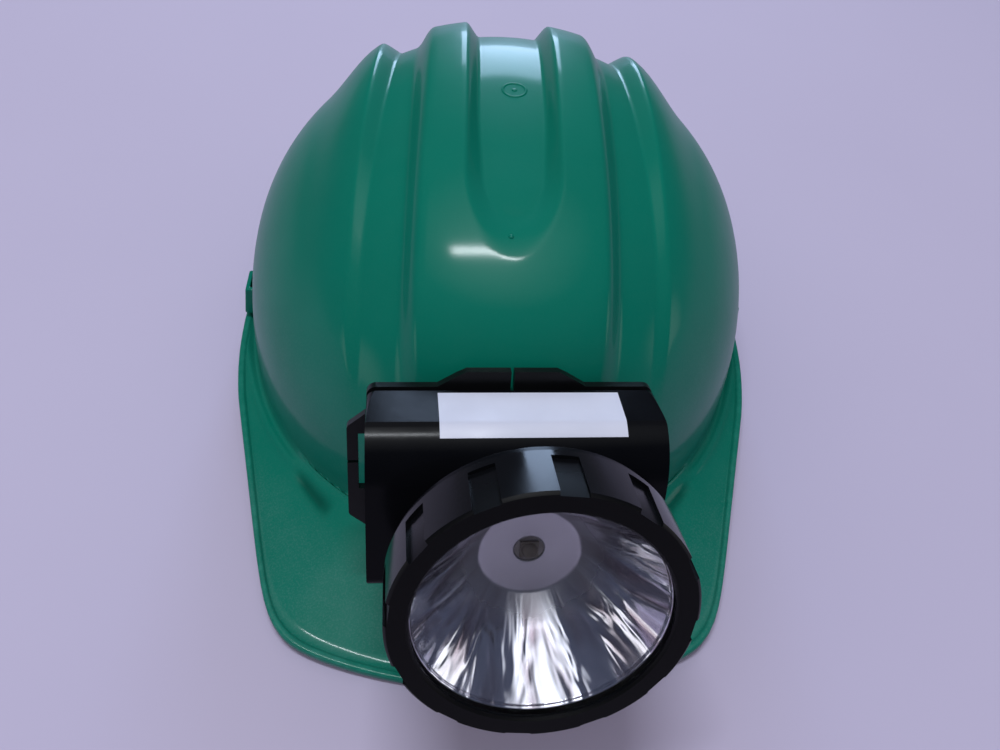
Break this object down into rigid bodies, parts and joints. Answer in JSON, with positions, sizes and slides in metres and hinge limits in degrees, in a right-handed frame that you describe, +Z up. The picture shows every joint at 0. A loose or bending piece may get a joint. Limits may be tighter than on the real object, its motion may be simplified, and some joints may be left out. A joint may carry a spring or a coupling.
{
  "type": "miner's cap lamp",
  "caption": "Hard hat with a rechargeable miner's lamp bonded to its front: battery case on a slotted back plate, tilting round lamp head with a notched twist-off bezel.",
  "frame": {"origin": "centre of the head opening, level with the lowest points of the rim, on which the cap stands", "axes": "+Z up through the crown, the peak and the lamp face -Y, +X is the wearer's left (the right of the picture)"},
  "size_m": [0.217, 0.3149, 0.1293],
  "materials": {
    "shell_green": "moulded, glossy",
    "harness_plastic": "moulded, matt",
    "sweatband_cloth": "padded cloth",
    "webbing": "woven webbing",
    "pad_rubber": "matt",
    "case_black": "polished",
    "seal_rubber": "matt",
    "steel": "plated",
    "label_white": "bare sticker",
    "inner_plastic": "moulded",
    "cell_can": "shrink sleeve over a metal can",
    "contact_metal": "plated",
    "board": "solder mask",
    "button_rubber": "satin",
    "reflector_chrome": "mirror coated",
    "led_metal": "satin",
    "led_phosphor": "clear dome over phosphor",
    "lead_sleeve": "insulation",
    "lens_clear": "clear",
    "bezel_black": "polished band, matt front"
  },
  "bodies": {
    "cap": {"helmet_shell": "shell_green", "headband": "harness_plastic", "sweatband": "sweatband_cloth", "nape_strap": "harness_plastic", "nape_pins": "harness_plastic", "crown_strap_lower": "webbing", "crown_strap_upper": "webbing", "suspension_keys": "harness_plastic", "saddle_pad": "pad_rubber", "back_plate": "case_black", "case_seal": "seal_rubber", "case_screws": "steel", "battery_case": "case_black", "label_blank": "label_white", "cell_holder": "inner_plastic", "battery_cell": "cell_can", "cell_contacts": "contact_metal", "control_board": "board", "switch_body": "inner_plastic", "charge_socket": "inner_plastic", "cover_pin": "steel", "hinge_pin": "steel"},
    "head": {"head_housing": "case_black", "reflector": "reflector_chrome", "led_board": "led_metal", "led_emitter": "led_phosphor", "head_leads": "lead_sleeve", "lens_gasket": "seal_rubber", "lens": "lens_clear"},
    "bezel": {"bezel_ring": "bezel_black"},
    "button": {"switch_button": "button_rubber"},
    "cover": {"socket_cover": "button_rubber"}
  },
  "joints": [
    {"name": "head_tilt", "type": "hinge", "parent": "cap", "child": "head", "pos_m": [0.0055, -0.16468, 0.04707], "axis": [0.9976, 0.0642, -0.0273], "range_deg": [0, 60]},
    {"name": "bezel_twist", "type": "hinge", "parent": "head", "child": "bezel", "pos_m": [0.00718, -0.17383, 0.0868], "axis": [0.0698, -0.9183, 0.3898], "range_deg": [0, 25]},
    {"name": "switch_press", "type": "slide", "parent": "cap", "child": "button", "axis": [-0.9976, -0.0642, 0.0273], "range_m": [0, 0.0012], "stiffness_N_per_m": 400},
    {"name": "cover_flip", "type": "hinge", "parent": "cap", "child": "cover", "pos_m": [0.04652, -0.12717, 0.05885], "axis": [0, 0.3907, 0.9205], "range_deg": [0, 110]}
  ]
}
